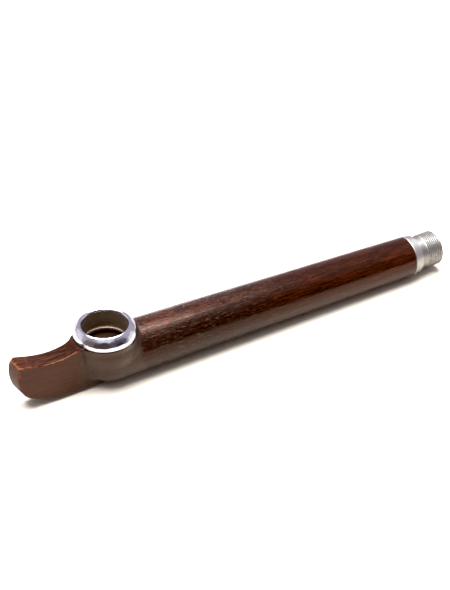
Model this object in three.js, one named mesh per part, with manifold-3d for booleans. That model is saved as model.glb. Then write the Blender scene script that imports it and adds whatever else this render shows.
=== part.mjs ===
// Wooden pipe body: a carved tongue, an upright cup under a domed metal ring, a tapered shank
// and a threaded metal tenon. All lengths are in mm. +X runs from the tongue to the tenon,
// +Y points left when looking along +X, +Z is up and the table is z = 0.
import * as THREE from 'three';
import { mergeVertices } from 'three/addons/utils/BufferGeometryUtils.js';
import Module from 'manifold-3d';

const wasm = await Module();
wasm.setup();

// ---- driving dimensions -------------------------------------------------------------------
const LENGTH = 241;                 // tip of the tongue to the end of the tenon
const GAP = 0.3;                    // glue line between two pieces
const TIP_X = -LENGTH / 2;
const CUP_X = TIP_X + 48.5;         // upright axis of cup, ring and liner
const WOOD_END_X = CUP_X + 174;     // flat end face of the shank

const TONGUE_HALF = 5;              // half width of the flat-sided tongue
const TONGUE_EDGE = 3.3;            // rounding of its two bottom edges
const TIP_SKEW = 0.13;              // the tip is filed slightly askew, radians
const BOSS_R = 15;                  // upright boss under the ring
const BOSS_LEAN = 2.2;              // how far its underside sits towards the shank
const TONGUE_COVE = 5;              // hollow blend from boss to tongue
const SHANK_COVE = 5;               // hollow blend from boss to shank
const REST_FLAT = 0.15;             // depth sanded off the underside so the pipe stands
const SEAT_Z = 25.6;                // round pocket in the top of the boss, where the ring sits
const WOOD_TOP = 26.4;              // highest wood, beside the ring
const SHANK_R = 13.5;               // shank radius at the cup axis
const SHANK_TAPER = 0.016;          // radius lost per mm towards the tenon
const AXIS_Z = SHANK_R - SHANK_TAPER * (WOOD_END_X - CUP_X) - REST_FLAT;  // tenon axis height

const RING_TOP = 32.3;
const RING_R = 15.5;                // widest part of the domed ring
const RING_BORE = 11;
const LIP_THICKNESS = 1.1;          // ring lip that covers the top of the liner
const LINER_R = 12.1;               // outside of the cup liner
const LINER_BORE = 11.1;
const LEDGE_Z = RING_TOP - 10.2;    // narrow step inside the liner
const LEDGE_BORE = 10.2;
const LEDGE_THICKNESS = 1.2;
const RECESS_R = 10.7;              // wooden recess below the liner
const FLOOR_Z = RING_TOP - 13.7;

const AIRWAY_R = 3;                 // airway along the shank
const VENT_R = 2.5;                 // hole from the cup floor down to the airway
const COLLAR_LENGTH = 4.7;
const COLLAR_R = 10.5;              // collar radius at the wood, tapering to COLLAR_END_R
const COLLAR_END_R = 10;
const INSERT_R = 7;                 // plain part of the tenon, glued into the shank
const INSERT_DEPTH = 14;
const TENON_BORE = 4;
const NECK_R = 8.6;                 // plain shoulder between the collar and the thread
const NECK_LENGTH = 4;
const NECK_SEAT = 1.2;              // how far the neck is let into the collar
const THREAD_R = 9;
const THREAD_ROOT_R = 8.55;
const THREAD_PITCH = 1.1;
const THREAD_TURNS = 8;

// ---- helpers --------------------------------------------------------------------------------
function toSolid(geometry) {
  const bare = geometry.clone();
  bare.deleteAttribute('normal');
  bare.deleteAttribute('uv');
  const merged = mergeVertices(bare, 1e-4);
  return new wasm.Manifold(new wasm.Mesh({
    numProp: 3,
    vertProperties: new Float32Array(merged.attributes.position.array),
    triVerts: new Uint32Array(merged.index.array),
  }));
}

function toGeometry(solid) {
  const mesh = solid.getMesh();
  const geometry = new THREE.BufferGeometry();
  geometry.setAttribute('position', new THREE.BufferAttribute(mesh.vertProperties.slice(), 3));
  geometry.setIndex(new THREE.BufferAttribute(mesh.triVerts.slice(), 1));
  geometry.computeVertexNormals();
  return geometry;
}

// Lathe about the upright cup axis; profile points are [radius, z], ordered upwards outside.
function turnUpright(profile, segments) {
  const points = profile.map(([r, z]) => new THREE.Vector2(r, z));
  return new THREE.LatheGeometry(points, segments).rotateX(Math.PI / 2).translate(CUP_X, 0, 0);
}

// Lathe about the horizontal tenon axis; profile points are [radius, x].
function turnAlongX(profile, segments) {
  const points = profile.map(([r, x]) => new THREE.Vector2(r, x));
  return new THREE.LatheGeometry(points, segments).rotateZ(-Math.PI / 2).translate(0, 0, AXIS_Z);
}

function piece(name, geometry, color, roughness, metalness) {
  const material = new THREE.MeshStandardMaterial({ color, roughness, metalness });
  const mesh = new THREE.Mesh(geometry, material);
  mesh.name = name;
  return mesh;
}

// ---- wooden body ------------------------------------------------------------------------------
const shankRadius = (x) => SHANK_R - SHANK_TAPER * Math.max(x, 0);
const shankAxisZ = (x) => shankRadius(x) - REST_FLAT;

// Union of two distances with a hollow cove where they meet.
function coveUnion(a, b, cove) {
  const size = cove + 0.4;
  const h = Math.max(size - Math.abs(a - b), 0) / size;
  return Math.min(a, b) - h * h * size / 4;
}

// Tongue: flat sides, rounded bottom edges, open at the top; it runs into the boss.
function tongueDistance(x, y, z) {
  const q = [x, Math.abs(y) - TONGUE_HALF, -z - REST_FLAT].map((d) => d + TONGUE_EDGE);
  return Math.hypot(...q.map((d) => Math.max(d, 0))) + Math.min(Math.max(...q), 0) - TONGUE_EDGE;
}

// Boss: round underneath like the shank, flaring above mid height to an upright wall.
function bossDistance(x, y, z) {
  const mid = shankAxisZ(0);
  const flare = (BOSS_R - SHANK_R) * THREE.MathUtils.clamp((z - mid) / (SEAT_Z - mid), 0, 1);
  return Math.hypot(x, y, Math.min(z - mid, 0)) - SHANK_R - flare;
}

// Shank: tapered, with a round end inside the boss.
function shankDistance(x, y, z) {
  return Math.hypot(Math.min(x, 0), y, z - shankAxisZ(x)) - shankRadius(x);
}

// Distance to the blended outside of the wood; x is measured from the cup axis.
function outside(x, y, z) {
  const fromBoss = x - BOSS_LEAN * Math.max(1 - z / SEAT_Z, 0);
  const { smoothstep } = THREE.MathUtils;
  const shankCove = SHANK_COVE * smoothstep(z, 13, 21) * (1 - 0.8 * smoothstep(z, 21, WOOD_TOP));
  const tongueCove = TONGUE_COVE * smoothstep(z, 1, 9);
  const round = coveUnion(bossDistance(fromBoss, y, z), shankDistance(fromBoss, y, z), shankCove);
  return coveUnion(round, tongueDistance(x, y, z), tongueCove);
}

// Distance from the long axis to the outside, looking along one ray of a cross section.
function reach(x, angle) {
  let near = 0;
  let far = 36;
  for (let i = 0; i < 30; i += 1) {
    const mid = (near + far) / 2;
    if (outside(x, mid * Math.cos(angle), shankAxisZ(x) + mid * Math.sin(angle)) < 0) near = mid;
    else far = mid;
  }
  return near;
}

// Cross sections lie close together where the boss blends into tongue and shank.
function sectionPositions() {
  const xs = [-52, -30];
  for (let x = -21.5; x < -15; x += 0.9) xs.push(x);
  for (let i = 0; i <= 24; i += 1) xs.push(-BOSS_R * Math.cos(Math.PI * i / 24));
  for (let x = 15.9; x < 22; x += 0.9) xs.push(x);
  xs.push(40, 85, 130, WOOD_END_X - CUP_X);
  return xs;
}

function loftBlank() {
  const rays = 84;
  const xs = sectionPositions();
  const positions = [];
  const index = [];
  for (const x of xs) {
    for (let k = 0; k < rays; k += 1) {
      const angle = 2 * Math.PI * k / rays;
      const r = reach(x, angle);
      positions.push(CUP_X + x, r * Math.cos(angle), shankAxisZ(x) + r * Math.sin(angle));
    }
  }
  const ends = [0, xs.length - 1].map((section) => {
    positions.push(CUP_X + xs[section], 0, shankAxisZ(xs[section]));
    return positions.length / 3 - 1;
  });
  const apart = (i, j) => Math.hypot(...[0, 1, 2].map((n) => positions[3 * i + n] - positions[3 * j + n]));
  for (let k = 0; k < rays; k += 1) {
    const next = (k + 1) % rays;
    for (let s = 0; s < xs.length - 1; s += 1) {
      const [a, b, c, d] = [s * rays + k, s * rays + next, (s + 1) * rays + k, (s + 1) * rays + next];
      if (apart(b, c) < apart(a, d)) index.push(a, b, c, b, d, c);
      else index.push(a, b, d, a, d, c);
    }
    const last = (xs.length - 1) * rays;
    index.push(ends[0], next, k, ends[1], last + k, last + next);
  }
  const geometry = new THREE.BufferGeometry();
  geometry.setAttribute('position', new THREE.Float32BufferAttribute(positions, 3));
  geometry.setIndex(index);
  return geometry;
}

// Slab cut to an outline in side view; x is measured from the cup axis.
function sideSlab(outline, depth) {
  const slab = new THREE.ExtrudeGeometry(outline, { depth, bevelEnabled: false, curveSegments: 14 });
  return slab.rotateX(Math.PI / 2).translate(0, depth / 2, 0);
}

// Flat rest underneath, level top beside the ring, hollow top of the tongue.
function lengthTrim() {
  const side = new THREE.Shape();
  side.moveTo(-60, 0);
  side.lineTo(200, 0);
  side.lineTo(200, WOOD_TOP);
  side.lineTo(-14.8, WOOD_TOP);
  side.bezierCurveTo(-22, 21.7, -33, 21.6, -48, 27.6);
  side.lineTo(-60, 27.6);
  return sideSlab(side, 60).translate(CUP_X, 0, 0);
}

// Face of the tip and rounded chin, filed slightly askew.
function tipTrim() {
  const side = new THREE.Shape();
  side.moveTo(-46.3, 32);
  side.lineTo(-47.2, 24.6);
  side.bezierCurveTo(-48.6, 19, -47.8, 11.5, -44.2, 7.8);
  side.bezierCurveTo(-40.5, 4.4, -33, 1.8, -18, -0.4);
  side.lineTo(200, -0.5);
  side.lineTo(200, 32);
  return sideSlab(side, 120).translate(47, 0, 0).rotateZ(TIP_SKEW).translate(CUP_X - 47, 0, 0);
}

// Flat facet filed across the top of the tip, leaning towards the ring and to one side.
function tipFacet() {
  const block = new THREE.BoxGeometry(30, 30, 10).translate(0, 0, 5);
  return block.rotateX(0.07).rotateY(0.112).translate(CUP_X - 46, 0, 26.2);
}

function makeWoodBody() {
  const cup = turnUpright([
    [0, FLOOR_Z], [RECESS_R, FLOOR_Z], [RECESS_R, LEDGE_Z - LEDGE_THICKNESS - GAP],
    [LINER_R + GAP, LEDGE_Z - LEDGE_THICKNESS - GAP], [LINER_R + GAP, SEAT_Z],
    [RING_R + GAP, SEAT_Z], [RING_R + GAP, 40], [0, 40],
  ], 72);
  const vent = turnUpright([[0, AXIS_Z], [VENT_R, AXIS_Z], [VENT_R, FLOOR_Z + 1], [0, FLOOR_Z + 1]], 32);
  const airway = turnAlongX([
    [0, CUP_X - AIRWAY_R], [AIRWAY_R, CUP_X - AIRWAY_R], [AIRWAY_R, WOOD_END_X - INSERT_DEPTH - GAP],
    [INSERT_R + GAP, WOOD_END_X - INSERT_DEPTH - GAP], [INSERT_R + GAP, WOOD_END_X + 5],
    [0, WOOD_END_X + 5],
  ], 40);
  const trim = toSolid(lengthTrim()).intersect(toSolid(tipTrim())).subtract(toSolid(tipFacet()));
  const hollows = toSolid(cup).add(toSolid(vent)).add(toSolid(airway));
  return toGeometry(toSolid(loftBlank()).intersect(trim).subtract(hollows));
}

// ---- metal pieces -----------------------------------------------------------------------------
function makeRimRing() {
  const bottom = SEAT_Z + GAP;
  const profile = [
    [LINER_R + GAP, bottom], [14.9, bottom], [15.3, 26.4], [RING_R, 27.2], [15.4, 28.2], [15, 29.2],
    [14.45, 30.2], [13.75, 31], [12.95, 31.7], [12.1, 32.15], [11.6, RING_TOP], [11.2, RING_TOP],
    [RING_BORE, 32.1], [RING_BORE, RING_TOP - LIP_THICKNESS],
    [LINER_R + GAP, RING_TOP - LIP_THICKNESS], [LINER_R + GAP, bottom],
  ];
  return turnUpright(profile, 80);
}

function makeCupLiner() {
  const bottom = LEDGE_Z - LEDGE_THICKNESS;
  const top = RING_TOP - LIP_THICKNESS - GAP;
  return turnUpright([
    [LEDGE_BORE, bottom], [LINER_R, bottom], [LINER_R, top], [LINER_BORE, top],
    [LINER_BORE, LEDGE_Z], [LEDGE_BORE, LEDGE_Z], [LEDGE_BORE, bottom],
  ], 64);
}

function makeEndCollar() {
  const start = WOOD_END_X + GAP;
  const end = start + COLLAR_LENGTH;
  const bore = INSERT_R + GAP;
  return turnAlongX([
    [bore, start], [COLLAR_R - 0.1, start], [COLLAR_R, start + 0.5], [10.3, start + 1.6],
    [COLLAR_END_R, end - 0.3], [COLLAR_END_R - 0.3, end], [NECK_R + GAP, end],
    [NECK_R + GAP, end - NECK_SEAT], [bore, end - NECK_SEAT], [bore, start],
  ], 64);
}

function makeThreadedTenon() {
  const start = WOOD_END_X - INSERT_DEPTH;
  const neck = WOOD_END_X + GAP + COLLAR_LENGTH + GAP;
  const seat = neck - NECK_SEAT;
  const end = TIP_X + LENGTH;
  const profile = [
    [TENON_BORE, start], [INSERT_R, start], [INSERT_R, seat], [NECK_R, seat],
    [NECK_R, neck + NECK_LENGTH - 0.5],
  ];
  for (let turn = 0; turn < THREAD_TURNS; turn += 1) {
    const root = neck + NECK_LENGTH + turn * THREAD_PITCH;
    profile.push([THREAD_ROOT_R, root], [THREAD_R, root + THREAD_PITCH * 0.35]);
    profile.push([THREAD_R, root + THREAD_PITCH * 0.65]);
  }
  profile.push([NECK_R, end - 0.7], [NECK_R - 0.7, end], [TENON_BORE, end], [TENON_BORE, start]);
  return turnAlongX(profile, 56);
}

const pipe = new THREE.Group();
pipe.name = 'pipe_body';
pipe.add(
  piece('wood_body', makeWoodBody(), '#5b2e1d', 0.42, 0),
  piece('rim_ring', makeRimRing(), '#d8d8dc', 0.15, 1),
  piece('cup_liner', makeCupLiner(), '#8a7a68', 0.45, 1),
  piece('end_collar', makeEndCollar(), '#cfc9c2', 0.35, 1),
  piece('threaded_tenon', makeThreadedTenon(), '#cfc9c2', 0.35, 1),
);

export default pipe;
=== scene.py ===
import math

import bpy
import numpy as np
from mathutils import Matrix, Vector


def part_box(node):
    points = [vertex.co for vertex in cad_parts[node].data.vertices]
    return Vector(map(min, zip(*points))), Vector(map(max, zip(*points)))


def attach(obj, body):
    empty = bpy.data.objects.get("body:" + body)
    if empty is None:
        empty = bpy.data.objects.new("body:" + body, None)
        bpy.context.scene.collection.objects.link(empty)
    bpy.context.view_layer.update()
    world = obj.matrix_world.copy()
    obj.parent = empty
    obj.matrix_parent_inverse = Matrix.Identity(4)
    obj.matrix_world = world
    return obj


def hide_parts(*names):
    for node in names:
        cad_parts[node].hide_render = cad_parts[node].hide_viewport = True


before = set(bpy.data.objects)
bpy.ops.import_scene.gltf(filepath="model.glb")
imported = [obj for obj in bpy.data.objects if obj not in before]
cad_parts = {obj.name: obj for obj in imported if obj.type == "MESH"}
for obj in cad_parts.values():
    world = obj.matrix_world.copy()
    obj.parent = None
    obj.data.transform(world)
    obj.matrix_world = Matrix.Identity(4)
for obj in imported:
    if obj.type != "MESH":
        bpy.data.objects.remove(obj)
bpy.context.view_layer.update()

MM = 0.001
scene = bpy.context.scene

# ---- where the CAD nodes are, in mm ----------------------------------------------------------
ring_lo, ring_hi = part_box("rim_ring")
liner_lo, liner_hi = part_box("cup_liner")
_, wood_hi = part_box("wood_body")
collar_lo, collar_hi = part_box("end_collar")
tenon_lo, tenon_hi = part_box("threaded_tenon")

CUP_X = (ring_lo.x + ring_hi.x) / 2 / MM
RING_R = (ring_hi.y - ring_lo.y) / 2 / MM
RING_TOP = ring_hi.z / MM
RING_FOOT = ring_lo.z / MM
WOOD_END_X = wood_hi.x / MM
WOOD_LENGTH = WOOD_END_X - CUP_X
AXIS_Z = (tenon_lo.z + tenon_hi.z) / 2 / MM
COLLAR_X = collar_lo.x / MM
COLLAR_END_X = collar_hi.x / MM
TENON_X = tenon_lo.x / MM
TENON_END_X = tenon_hi.x / MM
LINER_R = (liner_hi.y - liner_lo.y) / 2 / MM
LINER_TOP = liner_hi.z / MM
LINER_FOOT = liner_lo.z / MM

# ---- the wood's shape in mm, with the CAD part's figures ---------------------------------------
TONGUE_HALF = 5.0      # half of its width
TONGUE_EDGE = 3.3      # rounding of its two bottom edges
TIP_SKEW = 0.13        # turn of the tip's face, in radians
BOSS_R = 15.0          # at the ring's seat
BOSS_LEAN = 2.2        # how far the boss's foot is shifted along the shank
TONGUE_COVE = 5.0
SHANK_COVE = 5.0
REST_FLAT = 0.15       # depth of the flat that the wood rests on
SEAT_Z = 25.6          # the ring's seat
WOOD_TOP = 26.4
SHANK_R = 13.5         # at the cup's axis
SHANK_TAPER = 0.016    # radius lost for each mm of length
CUP_FLOOR_Z = 18.6
RECESS_R = 10.7
AIRWAY_R = 3.0
VENT_R = 2.5
SOCKET_R = 7.3         # bore for the tenon's insert, in the wood and through the collar

# Rounding of the edges that the cuts leave, only here, and of the seam where no cove is left.
REST_EDGE = 0.3
FACET_EDGE = 0.5
TOP_EDGE = 0.65
TIP_EDGE = 1.3
END_EDGE = 0.5
SMALLEST_COVE = 0.4

# Lengths from the cup's axis, along x.
CAP_X = -38.0          # sections end here, and rays from one point shape the rest of the tongue
TIP_CUT_X = -17.0      # tip and chin are cut only beyond here
FACET_CUT_X = -31.0    # and the filed facet only beyond here
NO_CUT = -9.0          # stands for a cut that is far away


def smoothstep(v, lo, hi):
    """0 below lo and 1 above hi, with a smooth step between."""
    t = np.clip((v - lo) / (hi - lo), 0, 1)
    return t * t * (3 - 2 * t)


def cove_union(a, b, cove):
    """The nearer of two distances, with a cove where the two shapes meet."""
    size = cove + SMALLEST_COVE
    h = np.maximum(size - np.abs(a - b), 0) / size
    return np.minimum(a, b) - h * h * size / 4


def soft_max(a, b, size):
    """The farther of two distances, with the edge between the two shapes rounded by size."""
    h = np.maximum(size - np.abs(a - b), 0) / size
    return np.maximum(a, b) + h * h * size / 4


def bezier(p0, p1, p2, p3, count=60):
    """Points along a cubic curve."""
    t = np.linspace(0, 1, count)[:, None]
    p0, p1, p2, p3 = (np.array(p, float) for p in (p0, p1, p2, p3))
    return ((1 - t) ** 3) * p0 + 3 * t * (1 - t) ** 2 * p1 + 3 * t * t * (1 - t) * p2 + t ** 3 * p3


def shank_radius(x):
    return SHANK_R - SHANK_TAPER * np.maximum(x, 0)


def shank_axis_z(x):
    return shank_radius(x) - REST_FLAT


def waviness(x, y, z):
    """The slight unevenness of a hand-shaped surface, 0 to 0.1 mm."""
    middle_z, highest, amplitude = 13, 3.6, 0.014
    turn = np.arctan2(z - middle_z, y)
    w = np.sin(x * 0.19 + 1.3 * np.sin(turn + 0.4)) + np.sin(x * 0.43 + 2.1 * turn + 1.0)
    w = w + np.sin(x * 0.083 - turn * 3 + 2.0) + 0.6 * np.sin(x * 0.9 + turn * 4)
    return amplitude * (highest + w)


def lumps(x, y, z):
    """Distances to the boss, the shank and the tongue; x is measured from the cup axis."""
    fx = x - BOSS_LEAN * np.maximum(1 - z / SEAT_Z, 0)
    mid = shank_axis_z(0)
    flare = (BOSS_R - SHANK_R) * np.clip((z - mid) / (SEAT_Z - mid), 0, 1)
    boss = np.sqrt(fx ** 2 + y ** 2 + np.minimum(z - mid, 0) ** 2) - SHANK_R - flare
    shank = np.sqrt(np.minimum(fx, 0) ** 2 + y ** 2 + (z - shank_axis_z(fx)) ** 2)
    shank = shank - shank_radius(fx)
    qx, qy = x + TONGUE_EDGE, np.abs(y) - TONGUE_HALF + TONGUE_EDGE
    qz = TONGUE_EDGE - z - REST_FLAT
    tongue = np.sqrt(np.maximum(qx, 0) ** 2 + np.maximum(qy, 0) ** 2 + np.maximum(qz, 0) ** 2)
    tongue = tongue + np.minimum(np.maximum(np.maximum(qx, qy), qz), 0) - TONGUE_EDGE
    return boss, shank, tongue


def blank(x, y, z):
    """Distance to the blended outside of the wood, before its cuts."""
    boss, shank, tongue = lumps(x, y, z)
    shank_cove = SHANK_COVE * smoothstep(z, 13, 21) * (1 - 0.8 * smoothstep(z, 21, WOOD_TOP))
    tongue_cove = TONGUE_COVE * smoothstep(z, 1, 9)
    return cove_union(cove_union(boss, shank, shank_cove), tongue, tongue_cove)


# Hollow top of the tongue, from the tip to the ring, as height over length.
TOP_LINE = bezier((-14.8, WOOD_TOP), (-22, 21.7), (-33, 21.6), (-48, 27.6))[::-1]
TOP_SLOPE = np.gradient(TOP_LINE[:, 1], TOP_LINE[:, 0])
# Face of the tip and the rounded chin, as length over height, from the floor up.
TIP_LINE = np.vstack([
    [[-46.3, 32.0]],
    bezier((-47.2, 24.6), (-48.6, 19), (-47.8, 11.5), (-44.2, 7.8)),
    bezier((-44.2, 7.8), (-40.5, 4.4), (-33, 1.8), (-18, -0.4))[1:],
])[::-1]
TIP_SLOPE = np.gradient(TIP_LINE[:, 0], TIP_LINE[:, 1])
# Filed facet on the tip's top, tilted to the side and along, in radians.
SIDE_TILT, LONG_TILT = 0.07, 0.112
FACET_NORMAL = np.array([math.cos(SIDE_TILT) * math.sin(LONG_TILT), -math.sin(SIDE_TILT),
                         math.cos(SIDE_TILT) * math.cos(LONG_TILT)])
FACET_POINT = np.array([-46.0, 0.0, 26.2])
# Worn far corner of the tip, which the CAD part keeps sharper.
CORNER_NORMAL = np.array([-0.60, 0.50, 0.62])
CORNER_POINT = np.array([-46.8, 3.9, 25.8])


def trims(x, y, z):
    """Distances past the hollow top, past the tip's face and chin, and past the tip's facets."""
    slope = np.interp(x, TOP_LINE[:, 0], TOP_SLOPE, right=0.0)
    top = (z - np.interp(x, TOP_LINE[:, 0], TOP_LINE[:, 1])) / np.sqrt(1 + slope ** 2)
    pivot = 47
    along = (x + pivot) * math.cos(TIP_SKEW) + y * math.sin(TIP_SKEW) - pivot
    lean = np.interp(z, TIP_LINE[:, 1], TIP_SLOPE)
    tip = (np.interp(z, TIP_LINE[:, 1], TIP_LINE[:, 0]) - along) / np.sqrt(1 + lean ** 2)
    tip = np.where(along > TIP_CUT_X, NO_CUT, tip)
    facet = sum(n * (p - c) for n, p, c in zip(FACET_NORMAL, (x, y, z), FACET_POINT))
    corner = sum(n * (p - c) for n, p, c in zip(CORNER_NORMAL, (x, y, z), CORNER_POINT))
    facet = np.where(x > FACET_CUT_X, NO_CUT, np.maximum(facet, corner))
    return top, tip, facet


def wood_distance(x, y, z):
    """Distance to the finished outside of the wood, negative inside it."""
    top, tip, facet = trims(x, y, z)
    d = blank(x, y, z) + waviness(x, y, z)
    d = soft_max(d, -z, REST_EDGE)
    d = soft_max(d, soft_max(top, facet, FACET_EDGE), TOP_EDGE)
    d = soft_max(d, tip, TIP_EDGE)
    return soft_max(d, x - WOOD_LENGTH, END_EDGE)


def reach(origin, direction, far=36.0, halvings=26):
    """How far the wood goes from origin along direction; both are tuples of arrays."""
    near = np.zeros(np.broadcast(*direction).shape)
    far = near + far
    for _ in range(halvings):
        mid = (near + far) / 2
        inside = wood_distance(*(o + mid * d for o, d in zip(origin, direction))) < 0
        near = np.where(inside, mid, near)
        far = np.where(inside, far, mid)
    return near


def even_angles(x, count, samples=721, corner_pull=1.1):
    """Ray angles that share out each section's outline evenly, closer on its corners."""
    fine = np.linspace(-math.pi / 2, 1.5 * math.pi, samples)[None, :]
    centre = shank_axis_z(x)[:, None]
    r = reach((x[:, None], 0.0, centre), (np.zeros_like(fine + centre), np.cos(fine), np.sin(fine)))
    y, z = r * np.cos(fine), r * np.sin(fine)
    dy, dz = np.diff(y, axis=1), np.diff(z, axis=1)
    heading = np.unwrap(np.arctan2(dz, dy), axis=1)
    turn = np.abs(np.diff(heading, axis=1, append=heading[:, :1] + 2 * math.pi))
    step = np.hypot(dy, dz) + corner_pull * turn
    cum = np.concatenate([np.zeros((len(x), 1)), np.cumsum(step, axis=1)], axis=1)
    share = np.linspace(0, 1, count, endpoint=False)
    return np.array([np.interp(share * c[-1], c, fine[0]) for c in cum])


def section_positions():
    """Where the sections are: close round the boss and at the shank's end, far apart between."""
    boss_lo, boss_hi = -24, 25
    xs = [np.arange(CAP_X, boss_lo, 0.6), np.arange(boss_lo, boss_hi, 0.42),
          np.arange(boss_hi, WOOD_LENGTH - 2, 3.2)]
    ends = WOOD_LENGTH - np.array([0.9, 0.6, 0.4, 0.25, 0.14, 0.07, 0.02, 0.001])
    return np.concatenate(xs + [ends])


def ring_quads(lower, upper, count):
    """Faces between two rings of count vertices; lower and upper are their first vertices."""
    k = np.arange(count)
    nxt = (k + 1) % count
    return np.stack([lower + k, lower + nxt, upper + nxt, upper + k], axis=1).tolist()


def fan(ring, tip, count, flip=False):
    """Triangles from a ring of count vertices to one vertex, the tip."""
    around_ring = [(ring + i, ring + (i + 1) % count) for i in range(count)]
    return [(tip, b, a) if flip else (a, b, tip) for a, b in around_ring]


def wood_mesh(rays=288, cap_rings=84):
    """Verts and faces of the wood's outside: sections across x, and a cap of rays at the tip."""
    xs = section_positions()
    angles = even_angles(xs, rays)
    centre = shank_axis_z(xs)[:, None]
    flat = np.zeros_like(angles)
    r = reach((xs[:, None], 0.0, centre), (flat, np.cos(angles), np.sin(angles)))
    body = np.stack([xs[:, None] + flat, r * np.cos(angles), centre + r * np.sin(angles)], axis=-1)
    tilt = (np.arange(cap_rings, 0, -1) / (cap_rings + 1) * math.pi / 2)[:, None]
    a = angles[:1]
    heading = (-np.sin(tilt) + 0 * a, np.cos(tilt) * np.cos(a), np.cos(tilt) * np.sin(a))
    eye = (CAP_X, 0.0, float(shank_axis_z(CAP_X)))
    r = reach(eye, heading)
    cap = np.stack([o + r * h for o, h in zip(eye, heading)], axis=-1)
    pole = eye[0] - float(reach(eye, (np.array(-1.0), np.array(0.0), np.array(0.0))))
    rings = np.concatenate([cap, body])
    verts = np.concatenate([[[pole, 0, eye[2]]], rings.reshape(-1, 3),
                            [[xs[-1], 0, float(centre[-1, 0])]]])
    verts[:, 2] = np.maximum(verts[:, 2], 0)
    verts[:, 0] += CUP_X
    starts = 1 + rays * np.arange(len(rings))
    faces = fan(1, 0, rays, flip=True)
    for lower, upper in zip(starts[:-1], starts[1:]):
        faces.extend(ring_quads(lower, upper, rays))
    faces.extend(fan(int(starts[-1]), len(verts) - 1, rays))
    return verts, faces


# ---- mesh helpers ----------------------------------------------------------------------------
# How many flat faces stand for each round.
RING_SEGMENTS = 288
METAL_SEGMENTS = 192
CUP_SEGMENTS = 224
VENT_SEGMENTS = 64
AIRWAY_SEGMENTS = 96


def upright(r, h, angle):
    """Points round the cup's axis."""
    return np.stack([CUP_X + r * np.cos(angle), r * np.sin(angle), h + 0 * angle], axis=-1)


def along_x(r, h, angle):
    """Points round the shank's axis at the tenon."""
    return np.stack([h + 0 * angle, r * np.sin(angle), AXIS_Z + r * np.cos(angle)], axis=-1)


def rounded(points, sizes, steps=4):
    """The closed outline with each corner rounded; sizes has one radius for each corner."""
    longest_share, too_small = 0.45, 0.01
    pts = np.array(points, float)
    out = []
    for i, p in enumerate(pts):
        a, b = pts[i - 1] - p, pts[(i + 1) % len(pts)] - p
        size = min(sizes[i], longest_share * np.hypot(*a), longest_share * np.hypot(*b))
        if size < too_small:
            out.append(p)
            continue
        a, b = p + a / np.hypot(*a) * size, p + b / np.hypot(*b) * size
        for t in np.linspace(0, 1, steps + 1):
            out.append((1 - t) ** 2 * a + 2 * t * (1 - t) * p + t * t * b)
    return np.array(out)


def dense(points, step):
    """The closed outline with no stretch longer than step."""
    pts = np.array(points, float)
    out = []
    for i, p in enumerate(pts):
        q = pts[(i + 1) % len(pts)]
        n = max(1, int(math.ceil(np.hypot(*(q - p)) / step)))
        out.extend(p + (q - p) * j / n for j in range(n))
    return np.array(out)


def revolve(profile, segments, place, bend=None):
    """Verts and faces of a closed outline of (radius, height) turned about an axis."""
    prof = np.array(profile, float)
    angle = np.linspace(0, 2 * math.pi, segments, endpoint=False)
    r, h = prof[:, 0][:, None] + 0 * angle, prof[:, 1][:, None] + 0 * angle
    if bend is not None:
        r, h = bend(r, h, angle[None, :])
    verts = place(r, h, angle[None, :] + 0 * r)
    rows = len(prof)
    faces = []
    for row in range(rows):
        faces.extend(ring_quads(row * segments, (row + 1) % rows * segments, segments))
    return verts.reshape(-1, 3), faces


def new_mesh(name, verts, faces):
    mesh = bpy.data.meshes.new(name)
    mesh.from_pydata((np.asarray(verts) * MM).tolist(), [], faces)
    mesh.update()
    return mesh


def triples(items, field, kind=float):
    """The field of each of Blender's items, as rows of three numbers."""
    values = np.zeros(len(items) * 3, kind)
    items.foreach_get(field, values)
    return values.reshape(-1, 3)


def outward(mesh):
    """Turns the mesh's faces over if they point into the solid."""
    co = triples(mesh.vertices, "co")
    mesh.calc_loop_triangles()
    corners = triples(mesh.loop_triangles, "vertices", int)
    a, b, c = (co[corners[:, i]] for i in range(3))
    volume = np.einsum("ij,ij->i", a, np.cross(b, c)).sum()
    if volume < 0:
        mesh.flip_normals()


def add_piece(name, mesh, node, material, sharp=50):
    """A visible piece that stands for a CAD node; edges over sharp degrees stay sharp."""
    outward(mesh)
    mesh.polygons.foreach_set("use_smooth", [True] * len(mesh.polygons))
    mesh.set_sharp_from_angle(angle=math.radians(sharp))
    mesh.materials.clear()
    mesh.materials.append(material)
    ob = bpy.data.objects.new(name, mesh)
    scene.collection.objects.link(ob)
    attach(ob, "root")
    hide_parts(node)


def cut(mesh, cutters):
    """A new mesh, which is the mesh with the cutters taken out of it; the old one is removed."""
    body = bpy.data.objects.new("to_cut", mesh)
    scene.collection.objects.link(body)
    tools = []
    for i, (verts, faces) in enumerate(cutters):
        tool_mesh = new_mesh("cutter_%d" % i, verts, faces)
        outward(tool_mesh)
        tool = bpy.data.objects.new("cutter_%d" % i, tool_mesh)
        scene.collection.objects.link(tool)
        tools.append(tool)
        mod = body.modifiers.new("cut_%d" % i, "BOOLEAN")
        mod.operation, mod.solver, mod.object = "DIFFERENCE", "MANIFOLD", tool
    bpy.context.view_layer.update()
    graph = bpy.context.evaluated_depsgraph_get()
    result = bpy.data.meshes.new_from_object(body.evaluated_get(graph))
    for ob in [body] + tools:
        old = ob.data
        bpy.data.objects.remove(ob)
        bpy.data.meshes.remove(old)
    return result


# ---- materials -------------------------------------------------------------------------------
MIX_FACTOR, MIX_A, MIX_B, MIX_RESULT = 0, 6, 7, 2      # a colour Mix node's sockets


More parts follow.
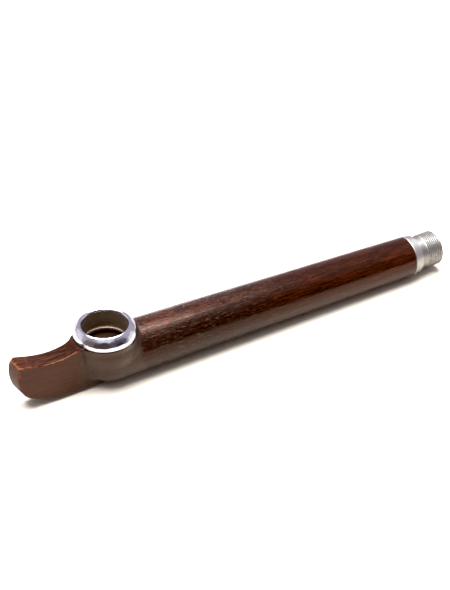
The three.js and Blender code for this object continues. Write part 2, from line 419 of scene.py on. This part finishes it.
class Look:
    """A procedural material: each method adds a node and returns its output, and set() fills in
    the shader. A value may be a socket or a plain number. Lengths are in mm."""

    def __init__(self, name):
        self.material = bpy.data.materials.new(name)
        self.material.use_nodes = True
        self.tree = self.material.node_tree
        self.tree.nodes.clear()
        self.shader = self.add("ShaderNodeBsdfPrincipled")
        out = self.add("ShaderNodeOutputMaterial")
        self.link(self.shader.outputs[0], out.inputs[0])
        coord = self.add("ShaderNodeTexCoord").outputs["Object"]
        self.p = self.vector("SCALE", coord, scale=1 / MM)

    def add(self, kind, **settings):
        node = self.tree.nodes.new(kind)
        for key, value in settings.items():
            setattr(node, key, value)
        return node

    def link(self, a, b):
        self.tree.links.new(a, b)

    def put(self, socket, value):
        if isinstance(value, bpy.types.NodeSocket):
            self.link(value, socket)
        else:
            socket.default_value = value

    def vector(self, operation, a, b=None, scale=None):
        node = self.add("ShaderNodeVectorMath", operation=operation)
        self.put(node.inputs[0], a)
        if b is not None:
            self.put(node.inputs[1], b)
        if scale is not None:
            self.put(node.inputs["Scale"], scale)
        return node.outputs["Vector"]

    def math(self, operation, a, b=0.0, c=0.0, clamp=False):
        node = self.add("ShaderNodeMath", operation=operation, use_clamp=clamp)
        for socket, value in zip(node.inputs, (a, b, c)):
            self.put(socket, value)
        return node.outputs[0]

    def times(self, a, b):
        return self.math("MULTIPLY", a, b)

    def times_add(self, a, b, c, clamp=False):
        return self.math("MULTIPLY_ADD", a, b, c, clamp)

    def split(self, vector):
        node = self.add("ShaderNodeSeparateXYZ")
        self.link(vector, node.inputs[0])
        return node.outputs

    def join(self, x, y, z):
        node = self.add("ShaderNodeCombineXYZ")
        for socket, value in zip(node.inputs, (x, y, z)):
            self.put(socket, value)
        return node.outputs[0]

    def noise(self, where, size, detail=2.0, roughness=0.5, shift=0.0):
        """Noise whose features are about size (x, y, z) mm."""
        scaled = self.vector("MULTIPLY_ADD", where, tuple(1 / s for s in size))
        scaled.node.inputs[2].default_value = (shift, shift * 1.7, shift * 0.6)
        node = self.add("ShaderNodeTexNoise")
        self.link(scaled, node.inputs["Vector"])
        node.inputs["Scale"].default_value = 1.0
        node.inputs["Detail"].default_value = detail
        node.inputs["Roughness"].default_value = roughness
        return node.outputs["Fac"]

    def band(self, value, lo, hi, to_lo=0.0, to_hi=1.0):
        """A smooth step from to_lo at lo to to_hi at hi."""
        node = self.add("ShaderNodeMapRange", interpolation_type="SMOOTHSTEP")
        for socket, v in zip(node.inputs, (value, lo, hi, to_lo, to_hi)):
            self.put(socket, v)
        return node.outputs[0]

    def mix(self, factor, a, b):
        node = self.add("ShaderNodeMix", data_type="RGBA")
        self.put(node.inputs[MIX_FACTOR], factor)
        self.put(node.inputs[MIX_A], a if isinstance(a, bpy.types.NodeSocket) else (*a, 1))
        self.put(node.inputs[MIX_B], b if isinstance(b, bpy.types.NodeSocket) else (*b, 1))
        return node.outputs[MIX_RESULT]

    def ramp(self, value, stops):
        node = self.add("ShaderNodeValToRGB")
        self.link(value, node.inputs[0])
        elements = node.color_ramp.elements
        while len(elements) < len(stops):
            elements.new(0.5)
        for element, (at, color) in zip(elements, stops):
            element.position = at
            element.color = (*color, 1)
        return node.outputs[0]

    def bump(self, height, distance, strength, normal=None):
        node = self.add("ShaderNodeBump")
        self.link(height, node.inputs["Height"])
        node.inputs["Distance"].default_value = distance * MM
        node.inputs["Strength"].default_value = strength
        if normal is not None:
            self.link(normal, node.inputs["Normal"])
        return node.outputs["Normal"]

    def attribute(self, name):
        return self.add("ShaderNodeAttribute", attribute_name=name).outputs["Fac"]

    def set(self, **values):
        for key, value in values.items():
            self.put(self.shader.inputs[key.replace("_", " ")], value)
        return self.material


def wood_material():
    look = Look("oiled_dark_wood")
    drift = look.math("SUBTRACT", look.noise(look.p, (90, 40, 40), 1.0), 0.5)
    shift = look.join(0.0, look.times(drift, 5.0), look.times(drift, -4.0))
    p = look.vector("ADD", look.p, shift)

    # Grain: broad, middle and fine streaks, darker towards the cup, then a colour ramp.
    broad = look.noise(p, (110, 5, 5), 1.0, shift=3.0)
    streak = look.noise(p, (17, 0.8, 0.8), 2.0, 0.55, shift=7.0)
    fibre = look.noise(p, (9.0, 0.42, 0.42), 2.0, 0.6, shift=11.0)
    tone = look.times_add(streak, 0.34, look.times(broad, 0.2))
    tone = look.times_add(fibre, 0.46, tone)
    along, _, up = look.split(look.p)
    darker = look.band(along, CUP_X + 45, CUP_X + 165, -0.065, -0.004)
    tone = look.math("ADD", tone, darker)
    # Near the cup the upper part is lighter and the part below darker: partly a red streak in the
    # grain, partly painted light from above.
    figure_and_top_light = look.times(look.band(up, 22.5, 25.5, -0.055, 0.045),
                        look.band(along, CUP_X + 35, CUP_X + 115, 1.0, 0.0))
    tone = look.math("ADD", tone, figure_and_top_light)
    color = look.ramp(tone, [
        (0.34, (0.0020, 0.0008, 0.0006)), (0.45, (0.0095, 0.0022, 0.0013)),
        (0.54, (0.0250, 0.0050, 0.0024)), (0.66, (0.060, 0.0130, 0.0052)),
    ])

    # Dark open pores and pale flecks, where the grain is open; the flecks' pale colour is a painted
    # glint on the pores, and they also dip in the bump.
    pore_color, fleck_glint_color = (0.0014, 0.0005, 0.0005), (0.085, 0.038, 0.026)
    pore = look.noise(p, (4.0, 0.48, 0.48), 1.0, shift=19.0)
    pore_mask = look.band(pore, 0.51, 0.59)
    fleck = look.noise(p, (3.0, 0.45, 0.45), 1.0, shift=31.0)
    open_grain = look.attribute("open_grain")
    fleck_mask = look.times(look.band(fleck, 0.64, 0.70), open_grain)
    pore_here = look.times(pore_mask, look.times_add(open_grain, 0.95, 0.05))
    color = look.mix(look.times(pore_here, 0.92), color, pore_color)
    color = look.mix(look.times(fleck_mask, 0.5), color, fleck_glint_color)

    # Bare wood on the tongue's top and the tip's face.
    bare_color = (0.058, 0.0165, 0.0058)
    bare = look.attribute("bare")
    bare_noise = look.noise(p, (9.0, 1.0, 1.0), 3.0, 0.6, shift=43.0)
    bare_mask = look.math("MULTIPLY", bare, look.band(bare_noise, 0.38, 0.66), clamp=True)
    color = look.mix(look.times(bare_mask, 0.6), color, bare_color)

    # Sanded haze, greyer on the boss and streaky on the tongue; the boss's grey is partly sanding
    # haze and partly a painted reflection of the pale floor.
    boss_haze_and_sheen, tongue_haze = (0.0215, 0.0138, 0.0102), (0.034, 0.0092, 0.0046)
    sanded = look.attribute("sanded")
    haze = look.noise(p, (18, 0.9, 0.9), 3.0, 0.6, shift=53.0)
    tongue = look.band(along, CUP_X - 14, CUP_X - 20)
    haze_depth = look.times(look.band(haze, 0.3, 0.7, 0.55, 0.0), tongue)
    haze_mask = look.times(sanded, look.math("SUBTRACT", 0.88, haze_depth))
    color = look.mix(haze_mask, color, look.mix(tongue, boss_haze_and_sheen, tongue_haze))

    # Worn edges, and painted shade darkening the creases beside the boss.
    worn_color, crease_shade_color = (0.125, 0.042, 0.017), (0.003, 0.0015, 0.001)
    wear = look.attribute("wear")
    wear_noise = look.noise(look.p, (1.6, 1.6, 1.6), 3.0, 0.6, shift=61.0)
    wear_mask = look.times(wear, look.band(wear_noise, 0.42, 0.62))
    color = look.mix(look.times(wear_mask, 0.75), color, worn_color)
    crease_shade = look.attribute("crease_shade")
    color = look.mix(look.times(crease_shade, 0.6), color, crease_shade_color)

    end_grain = look.attribute("end_grain")
    rough = look.band(look.noise(p, (12, 1.5, 1.5), 2.0, shift=71.0), 0.3, 0.7, 0.08, 0.13)
    rough = look.times_add(pore_here, 0.05, rough)
    rough = look.times_add(sanded, 0.08, rough)
    rough = look.times_add(bare_mask, 0.15, rough)
    rough = look.times_add(crease_shade, 0.32, rough)
    rough = look.times_add(end_grain, 0.35, rough, clamp=True)

    height = look.times(fibre, 0.12)
    height = look.times_add(pore_here, -1.0, height)
    height = look.times_add(fleck_mask, -0.5, height)
    normal = look.bump(height, 0.055, 0.8)
    torn = look.noise(look.p, (0.9, 0.7, 0.7), 3.0, 0.6, shift=91.0)
    normal = look.bump(look.times(torn, end_grain), 0.5, 0.8, normal)
    normal = look.bump(look.noise(look.p, (40, 6, 6), 1.0, shift=83.0), 0.10, 0.5, normal)
    return look.set(Base_Color=color, Roughness=rough, Normal=normal, IOR=1.34,
                    Specular_Tint=(1, 0.60, 0.47, 1))


def around(look, upright_axis=True):
    """Angle in radians, radius and height in mm about a turned piece's axis."""
    x, y, z = look.split(look.p)
    if upright_axis:
        a, b, height = look.math("SUBTRACT", x, CUP_X), y, z
    else:
        a, b, height = y, look.math("SUBTRACT", z, AXIS_Z), x
    angle = look.math("ARCTAN2", b, a)
    radius = look.math("SQRT", look.math("ADD", look.times(a, a), look.times(b, b)))
    return angle, radius, height


def ring_material():
    clean, dull, foot_shade_color = (0.58, 0.57, 0.62), (0.49, 0.48, 0.54), (0.10, 0.085, 0.08)
    look = Look("polished_ring")
    angle, radius, height = around(look)
    turned = look.join(look.times(angle, 3.0), radius, height)
    lines = look.noise(turned, (2.2, 0.10, 0.10), 3.0, 0.6, shift=2.0)
    rub = look.noise(look.p, (3.0, 3.0, 3.0), 4.0, 0.6, shift=5.0)
    scratch = look.noise(look.p, (4.0, 0.25, 0.6), 2.0, 0.6, shift=9.0)
    rough = look.times_add(look.band(rub, 0.35, 0.7), 0.06, 0.07)
    rough = look.times_add(look.band(scratch, 0.6, 0.75), 0.10, rough)
    color = look.mix(look.band(rub, 0.3, 0.75), clean, dull)
    # Painted shade: the lowest 0.85 mm of the ring, where it sits on the wood, darkens towards its
    # foot.
    darkening = look.band(height, RING_FOOT + 0.85, RING_FOOT + 0.45, 0.0, 0.75)
    color = look.mix(darkening, color, foot_shade_color)
    normal = look.bump(look.noise(look.p, (4, 4, 3), 2.0, shift=13.0), 0.45, 0.5)
    normal = look.bump(lines, 0.010, 0.6, normal)
    return look.set(Base_Color=color, Roughness=rough, Normal=normal, Metallic=1.0,
                    Specular_Tint=(0.45, 0.43, 0.52, 1))


def liner_material():
    bare_metal, tarnish = (0.44, 0.38, 0.31), (0.092, 0.048, 0.024)
    look = Look("tarnished_liner")
    angle, radius, height = around(look)
    turned = look.join(look.times(angle, 2.0), radius, height)
    lines = look.noise(turned, (2.5, 0.5, 0.16), 3.0, 0.65, shift=4.0)
    stain = look.noise(turned, (2.0, 2.0, 1.2), 4.0, 0.6, shift=8.0)
    darkening = look.band(height, LINER_TOP - 8.5, LINER_TOP - 0.5, 0.95, 0.6)
    darkening = look.times(darkening, look.band(stain, 0.25, 0.7, 0.75, 1.0))
    ledge = look.times(look.band(radius, LINER_R - 1.68, LINER_R - 1.80),
                       look.band(height, LINER_FOOT + 1.5, LINER_FOOT + 1.3))
    darkening = look.times(darkening, look.times_add(ledge, -0.9, 1.0))
    color = look.mix(darkening, bare_metal, tarnish)
    rough = look.times_add(look.band(lines, 0.3, 0.7), 0.18, 0.32)
    metal = look.times_add(darkening, -0.35, 1.0)
    normal = look.bump(lines, 0.05, 0.7)
    return look.set(Base_Color=color, Roughness=rough, Normal=normal, Metallic=metal)


def turned_metal_material(name, color, line_width, shaded_radius):
    """Turned pale metal with fine lines; painted shade darkens the grooves and recesses that lie
    below the radius given as the last argument.
    """
    spot_color, groove_shade_color = (0.20, 0.16, 0.13), (0.10, 0.085, 0.07)
    look = Look(name)
    angle, radius, height = around(look, upright_axis=False)
    turned = look.join(look.times(angle, 2.0), radius, height)
    lines = look.noise(turned, (3.0, line_width, line_width), 3.0, 0.65, shift=6.0)
    rub = look.noise(look.p, (2.4, 1.2, 1.2), 4.0, 0.6, shift=12.0)
    dirt = look.noise(turned, (1.6, 0.4, 0.4), 3.0, 0.6, shift=15.0)
    color = look.mix(look.band(rub, 0.3, 0.72), color, tuple(c * 0.90 for c in color))
    spots = look.times(look.band(dirt, 0.60, 0.74), 0.35)
    color = look.mix(spots, color, spot_color)
    # Painted shade in the thread's roots and in the recesses below that radius.
    groove = look.band(radius, shaded_radius - 0.12, shaded_radius + 0.12, 0.5, 0.0)
    color = look.mix(groove, color, groove_shade_color)
    rough = look.times_add(look.band(lines, 0.3, 0.7), 0.12, 0.39)
    rough = look.times_add(look.band(rub, 0.45, 0.75), 0.06, rough)
    normal = look.bump(lines, 0.02, 0.6)
    return look.set(Base_Color=color, Roughness=rough, Normal=normal, Metallic=1.0,
                    Specular_Tint=(0.5, 0.47, 0.46, 1))


# ---- wooden body -----------------------------------------------------------------------------
def solid_turning(outline, segments, place):
    """Closed solid from an outline that starts and ends on the axis."""
    prof = np.array(outline, float)
    angle = np.linspace(0, 2 * math.pi, segments, endpoint=False)
    inner = prof[1:-1]
    rings = place(inner[:, 0][:, None] + 0 * angle, inner[:, 1][:, None] + 0 * angle,
                  angle[None, :] + 0 * inner[:, :1])
    ends = [place(np.array(0.0), np.array(h), np.array(0.0)) for h in (prof[0, 1], prof[-1, 1])]
    verts = np.concatenate([rings.reshape(-1, 3), np.array(ends).reshape(-1, 3)])
    first, last = len(verts) - 2, len(verts) - 1
    faces = fan(0, first, segments, flip=True)
    for row in range(len(inner) - 1):
        faces.extend(ring_quads(row * segments, (row + 1) * segments, segments))
    faces.extend(fan((len(inner) - 1) * segments, last, segments))
    return verts, faces


def paint_wood(mesh):
    """Per-vertex masks, 0 to 1, for the wood's material."""
    co, no = triples(mesh.vertices, "co") / MM, triples(mesh.vertices, "normal")
    x, y, z = co[:, 0] - CUP_X, co[:, 1], co[:, 2]
    top, tip, facet = trims(x, y, z)
    boss, shank, tongue = lumps(x, y, z)
    plan = np.hypot(x, y)

    # The outside, top and tip surfaces meet at an edge where the second highest level is 0.
    levels = np.sort(np.stack([blank(x, y, z), np.maximum(top, facet), tip]), axis=0)
    wear = smoothstep(levels[-2] + 0.5 * smoothstep(-x, 38, 46), -0.9, -0.1)
    wear = np.where(x > -16, 0.0, wear) * (0.2 + 0.8 * smoothstep(z, 19, 23))

    up = smoothstep(no[:, 2], 0.5, 0.85)
    tongue_top = up * smoothstep(-x, 15, 17)
    tip_face = smoothstep(-no[:, 0], 0.55, 0.85) * smoothstep(-x, 40, 44)
    bare = np.clip(tongue_top * smoothstep(-x, 17, 22) + tip_face, 0, 1)
    in_cup = 1 - smoothstep(plan, RECESS_R + 0.1, RECESS_R + 0.6)
    in_cup = in_cup * smoothstep(z, CUP_FLOOR_Z - 4, CUP_FLOOR_Z - 1)

    # Boss and tongue are sanded up to an edge on the shank, and the grain is open beyond it.
    edge = 19.4 - 2.4 * smoothstep(z, 9, 21)
    sanded = 1 - smoothstep(plan, edge - 1.0, edge + 1.0)
    sanded = np.maximum(sanded, smoothstep(-x, 14, 18))
    open_grain = (1 - sanded) * (1 - 0.8 * smoothstep(x, 30, 120))
    sanded = sanded * (1 - 0.6 * in_cup) * (1 - tongue_top)

    # Painted shade darkens where the tongue meets the boss, and where the shank does.
    groove = 1 - smoothstep(np.abs(np.minimum(boss, shank) - tongue), 0.2, 2.4)
    groove = groove * smoothstep(-x, 12, 14) * (1 - up)
    corner = 1 - smoothstep(np.abs(boss - shank), 0.4, 3.2)
    corner = corner * smoothstep(x, 4, 8) * smoothstep(z, 15, 18)
    crease_shade = np.clip(groove + 0.9 * corner, 0, 1)

    masks = {"crease_shade": crease_shade, "wear": wear, "sanded": sanded, "bare": bare,
             "open_grain": open_grain, "end_grain": np.maximum(tip_face, in_cup)}
    for name, values in masks.items():
        layer = mesh.attributes.new(name, "FLOAT", "POINT")
        layer.data.foreach_set("value", values.astype(np.float32))


def make_wood():
    gap, open_top, vent_top, open_end = 0.3, 40, CUP_FLOOR_Z + 1, WOOD_END_X + 5
    liner_r, ring_r = LINER_R + 0.2, RING_R + 0.25
    cup = solid_turning([
        (0, CUP_FLOOR_Z), (RECESS_R, CUP_FLOOR_Z), (RECESS_R, LINER_FOOT - gap),
        (liner_r, LINER_FOOT - gap), (liner_r, SEAT_Z), (ring_r, SEAT_Z),
        (ring_r, open_top), (0, open_top)], CUP_SEGMENTS, upright)
    vent = solid_turning([
        (0, AXIS_Z), (VENT_R, AXIS_Z), (VENT_R, vent_top), (0, vent_top)], VENT_SEGMENTS, upright)
    airway = solid_turning([
        (0, CUP_X - AIRWAY_R), (AIRWAY_R, CUP_X - AIRWAY_R), (AIRWAY_R, TENON_X - gap),
        (SOCKET_R, TENON_X - gap), (SOCKET_R, open_end), (0, open_end)],
        AIRWAY_SEGMENTS, along_x)
    mesh = new_mesh("carved_wood", *wood_mesh())
    outward(mesh)
    mesh = cut(mesh, [cup, vent, airway])
    mesh.name = "carved_wood"
    paint_wood(mesh)
    add_piece("carved_wood", mesh, "wood_body", wood_material())


# ---- metal pieces ----------------------------------------------------------------------------
def catmull(points, steps=6):
    """A smooth line through the points."""
    pts = np.array(points, float)
    pts = np.vstack([2 * pts[0] - pts[1], pts, 2 * pts[-1] - pts[-2]])
    out = []
    for i in range(1, len(pts) - 2):
        p0, p1, p2, p3 = pts[i - 1:i + 3]
        for t in np.linspace(0, 1, steps, endpoint=False):
            out.append(0.5 * (2 * p1 + (p2 - p0) * t + (2 * p0 - 5 * p1 + 4 * p2 - p3) * t * t
                              + (3 * p1 - p0 - 3 * p2 + p3) * t ** 3))
    out.append(pts[-2])
    return np.array(out)


def make_ring():
    bore, foot = LINER_R + 0.15, RING_FOOT
    dome = catmull([(14.9, foot), (15.3, 26.4), (RING_R, 27.2), (15.4, 28.2), (15, 29.2),
                    (14.45, 30.2), (13.8, 31), (13.1, 31.7), (12.6, 32.12), (12.2, RING_TOP),
                    (11.8, 32.2), (11.4, 31.95), (11.1, 31.55)])
    dome[:, 0] = np.minimum(dome[:, 0], RING_R)
    dome[:, 1] = np.minimum(dome[:, 1], RING_TOP)
    profile = np.vstack([dome, [(11.0, 31.1), (bore, 31.1), (bore, foot)]])

    def uneven(r, h, angle):
        """Slightly uneven flank, up to 0.05 mm inside the round."""
        wave = np.sin(2 * angle + 0.7) + 0.6 * np.sin(5 * angle + h * 0.8)
        wave = wave + 0.5 * np.sin(9 * angle + 2)
        return np.where(r > 13, r - 0.012 * (2.1 + wave), r), h

    mesh = new_mesh("domed_ring", *revolve(profile, RING_SEGMENTS, upright, uneven))
    add_piece("domed_ring", mesh, "rim_ring", ring_material(), sharp=40)


def make_liner():
    bore, ledge_z, ledge_bore = LINER_R - 1.0, LINER_FOOT + 1.2, LINER_R - 1.9
    outline = rounded([(ledge_bore, LINER_FOOT), (LINER_R, LINER_FOOT), (LINER_R, LINER_TOP),
                       (bore, LINER_TOP), (bore, ledge_z), (ledge_bore, ledge_z)],
                      [0.15, 0.1, 0.1, 0.3, 0.12, 0.22])
    profile = dense(outline, 0.16)

    def machined(r, h, angle):
        """Shallow turning marks on the wall of the bore."""
        inside = (r < bore + 0.02) & (h > ledge_z + 0.3) & (h < LINER_TOP - 0.5)
        groove = 0.022 * np.sin(h * 13.0 + 0.4 * np.sin(angle)) + 0.018 * np.sin(h * 5.1 + 1)
        return np.where(inside, r + 0.04 + groove, r), h

    mesh = new_mesh("cup_lining", *revolve(profile, METAL_SEGMENTS, upright, machined))
    add_piece("cup_lining", mesh, "cup_liner", liner_material(), sharp=45)


def make_collar():
    x0, x1 = COLLAR_X, COLLAR_END_X
    seat_r, seat_x = 8.9, COLLAR_END_X - 1.2      # counterbore that takes the tenon's neck
    outline = rounded([(SOCKET_R, x0), (10.4, x0), (10.5, x0 + 0.5), (10.3, x0 + 1.6),
                       (10.0, x1 - 0.3), (9.7, x1), (seat_r, x1), (seat_r, seat_x),
                       (SOCKET_R, seat_x)],
                      [0, 0.12, 0.25, 0.3, 0.2, 0.12, 0.1, 0, 0])
    profile = dense(outline, 0.14)

    def turned(r, h, angle):
        """Shallow turning marks on the collar's outside."""
        groove = 0.018 * np.sin(h * 16) + 0.012 * np.sin(h * 7.3 + 1) + 0.01 * np.sin(3 * angle)
        return np.where(r > 9.75, r - 0.04 - groove, r), h

    mesh = new_mesh("turned_collar", *revolve(profile, METAL_SEGMENTS, along_x, turned))
    material = turned_metal_material("turned_collar", (0.35, 0.338, 0.334), 0.12, 9.0)
    add_piece("turned_collar", mesh, "end_collar", material)


def make_tenon():
    insert_r, bore, end, chamfer = 7.0, 4.0, TENON_END_X, 0.72
    neck_r, neck_x = 8.6, COLLAR_END_X - 0.9
    thread_x, pitch, crest, root = COLLAR_END_X + 4.3, 1.1, 9.0, 8.45
    inside = [(bore, end - 0.4), (bore, TENON_X), (insert_r, TENON_X), (insert_r, neck_x),
              (neck_r, neck_x)]
    front = dense([(neck_r, neck_x + 0.05), (neck_r, end - chamfer)], 0.11)
    front = front[:int(len(front) / 2) + 1]
    face = [(neck_r - chamfer, end), (bore + 0.35, end)]
    profile = np.vstack([inside, front, face])

    def thread(r, h, angle):
        """One helix with eased ends, and faint turning marks on the plain neck."""
        on_wall = (r > neck_r - 0.05) & (h > neck_x + 0.02)
        phase = ((h - thread_x) / pitch - angle / (2 * math.pi)) % 1.0
        vee = np.clip(np.abs(phase - 0.5) * 2, 0, 1)
        shape = root + (crest - root) * smoothstep(vee, 0.15, 0.72)
        lead = smoothstep(h, thread_x - 0.7, thread_x + 0.5)
        lead = lead * (1 - smoothstep(h, end - 1.1, end - 0.5))
        mark = 0.012 * np.sin(h * 21.0)
        return np.where(on_wall, r + (shape - r) * lead + mark * (1 - lead), r), h

    mesh = new_mesh("screw_tenon", *revolve(profile, METAL_SEGMENTS, along_x, thread))
    material = turned_metal_material("turned_tenon", (0.315, 0.303, 0.298), 0.10, 8.62)
    add_piece("screw_tenon", mesh, "threaded_tenon", material)


make_wood()
make_ring()
make_liner()
make_collar()
make_tenon()


# ---- floor, light and camera, in metres --------------------------------------------------------
ROOM_GREY = (0.54, 0.51, 0.60)
# Azimuth, elevation, outer and inner half-width in degrees, colour. Later ones cover earlier ones.
ROOM = [
    (0, 90, 45, 15, (1.0, 1.0, 1.03)),              # white overhead
    (-110, 62, 32, 18, (1.0, 1.0, 1.02)),           # white high in front
    (-165, 18, 34, 20, (0.22, 0.17, 0.17)),         # dim front, left of the camera
    (-120, 14, 40, 26, (0.09, 0.065, 0.065)),       # dark front, behind the camera
    (-70, 18, 38, 22, (0.12, 0.10, 0.145)),         # dark front, right of the camera
    (-70, 2, 22, 10, (0.035, 0.025, 0.024)),        # darkest, low on the right
    (-16, 2, 22, 14, (1.0, 1.0, 1.0)),              # white panel low at the tenon's end
    (135, 10, 24, 16, (1.0, 1.0, 1.0)),             # white panel low behind the tongue
]
KEY_RADIANCE, TOP_RADIANCE, FILL_RADIANCE = 10.0, 6.0, 0.36
FILL_COLOR = (1.0, 0.82, 0.58)

CAMERA_LENS = 98.95
CAMERA_AT = (-0.32908, -0.5579, 0.48788)
CAMERA_RIGHT = (0.8658, -0.5005, 0.0)
CAMERA_FORWARD = (0.4064, 0.7031, -0.5835)

# The picture's curves: white clips below full light, and dark tones lose a little green and blue.
BLACK_LEVEL = (0.0, 0.0032, 0.0052)
WHITE_LEVEL = (0.80, 0.80, 0.80)


def make_floor():
    half, drop = 1.4, 0.00002
    mesh = bpy.data.meshes.new("floor")
    mesh.from_pydata([(-half, -half, 0), (half, -half, 0), (half, half, 0), (-half, half, 0)], [],
                     [(0, 1, 2, 3)])
    look = Look("pale_floor")
    grain = look.noise(look.p, (30, 30, 30), 3.0)
    color = look.mix(grain, (0.60, 0.555, 0.49), (0.62, 0.575, 0.51))
    mesh.materials.append(look.set(Base_Color=color, Roughness=0.9, Specular_IOR_Level=0.2))
    ob = bpy.data.objects.new("floor", mesh)
    ob.location.z = -drop
    scene.collection.objects.link(ob)


def area_light(name, at, toward, size, radiance, color=(1, 1, 1)):
    """A panel of that radiance, size (across, along) in metres, facing the point toward."""
    data = bpy.data.lights.new(name, "AREA")
    data.shape = "RECTANGLE"
    data.size, data.size_y = size
    data.energy = radiance * math.pi * size[0] * size[1]
    data.color = color
    ob = bpy.data.objects.new(name, data)
    ob.location = at
    ob.rotation_euler = (Vector(toward) - Vector(at)).to_track_quat("-Z", "Y").to_euler()
    scene.collection.objects.link(ob)
    return ob


def direction(azimuth, elevation):
    """Unit vector towards an azimuth and elevation in degrees."""
    az, el = math.radians(azimuth), math.radians(elevation)
    return (math.cos(el) * math.cos(az), math.cos(el) * math.sin(az), math.sin(el))


def make_world():
    """The ROOM for light and reflections, and plain white where the camera sees past the floor."""
    world = bpy.data.worlds.new("studio")
    scene.world = world
    world.use_nodes = True
    tree = world.node_tree
    tree.nodes.clear()

    def node(kind, **settings):
        made = tree.nodes.new(kind)
        for key, value in settings.items():
            setattr(made, key, value)
        return made

    coord = node("ShaderNodeTexCoord").outputs["Generated"]

    def patch(azimuth, elevation, wide, narrow):
        """1 inside narrow degrees of the direction, 0 outside wide degrees."""
        dot = node("ShaderNodeVectorMath", operation="DOT_PRODUCT")
        tree.links.new(coord, dot.inputs[0])
        dot.inputs[1].default_value = direction(azimuth, elevation)
        ease = node("ShaderNodeMapRange", interpolation_type="SMOOTHSTEP")
        tree.links.new(dot.outputs["Value"], ease.inputs[0])
        ease.inputs[1].default_value = math.cos(math.radians(wide))
        ease.inputs[2].default_value = math.cos(math.radians(narrow))
        return ease.outputs[0]

    color = None
    for az, el, wide, narrow, tint in ROOM:
        mix = node("ShaderNodeMix", data_type="RGBA")
        if color is None:
            mix.inputs[MIX_A].default_value = (*ROOM_GREY, 1)
        else:
            tree.links.new(color, mix.inputs[MIX_A])
        tree.links.new(patch(az, el, wide, narrow), mix.inputs[MIX_FACTOR])
        mix.inputs[MIX_B].default_value = (*tint, 1)
        color = mix.outputs[MIX_RESULT]

    out = node("ShaderNodeOutputWorld")
    room = node("ShaderNodeBackground")
    tree.links.new(color, room.inputs[0])
    seen = node("ShaderNodeBackground")
    seen.inputs[0].default_value = (1, 1, 1, 1)
    mix = node("ShaderNodeMixShader")
    tree.links.new(node("ShaderNodeLightPath").outputs["Is Camera Ray"], mix.inputs[0])
    tree.links.new(room.outputs[0], mix.inputs[1])
    tree.links.new(seen.outputs[0], mix.inputs[2])
    tree.links.new(mix.outputs[0], out.inputs[0])


def make_lights():
    """Two soft panels overhead, and a weak warm fill in front that gloss doesn't show."""
    origin = (0.0, 0.0, 0.0)
    area_light("key_panel", (-0.10, 0.30, 2.30), origin, (2.2, 1.6), KEY_RADIANCE)
    # The second point is 0.1 mm off the plumb line, which fixes the panel's turn.
    area_light("top_panel", (-0.09, 0.075, 0.65), (-0.09, 0.0749, 0.0), (0.74, 0.57), TOP_RADIANCE)
    fill = area_light("front_fill", (0.10, -0.95, 0.55), origin, (1.0, 0.6), FILL_RADIANCE,
                      FILL_COLOR)
    fill.visible_glossy = False


def make_camera():
    data = bpy.data.cameras.new("camera")
    data.sensor_fit = "AUTO"
    data.sensor_width = 36.0
    data.lens = CAMERA_LENS
    data.clip_start, data.clip_end = 0.01, 50
    ob = bpy.data.objects.new("camera", data)
    right, forward = Vector(CAMERA_RIGHT).normalized(), Vector(CAMERA_FORWARD).normalized()
    up = right.cross(forward)
    turn = Matrix((right, up, -forward)).transposed()
    ob.matrix_world = Matrix.Translation(CAMERA_AT) @ turn.to_4x4()
    scene.collection.objects.link(ob)
    scene.camera = ob


make_floor()
make_world()
make_lights()
make_camera()

scene.view_settings.view_transform = "Standard"
scene.view_settings.look = "None"
scene.view_settings.exposure = 0.0
scene.view_settings.gamma = 1.0
scene.view_settings.use_curve_mapping = True
curves = scene.view_settings.curve_mapping
curves.black_level = BLACK_LEVEL
curves.white_level = WHITE_LEVEL
curves.update()
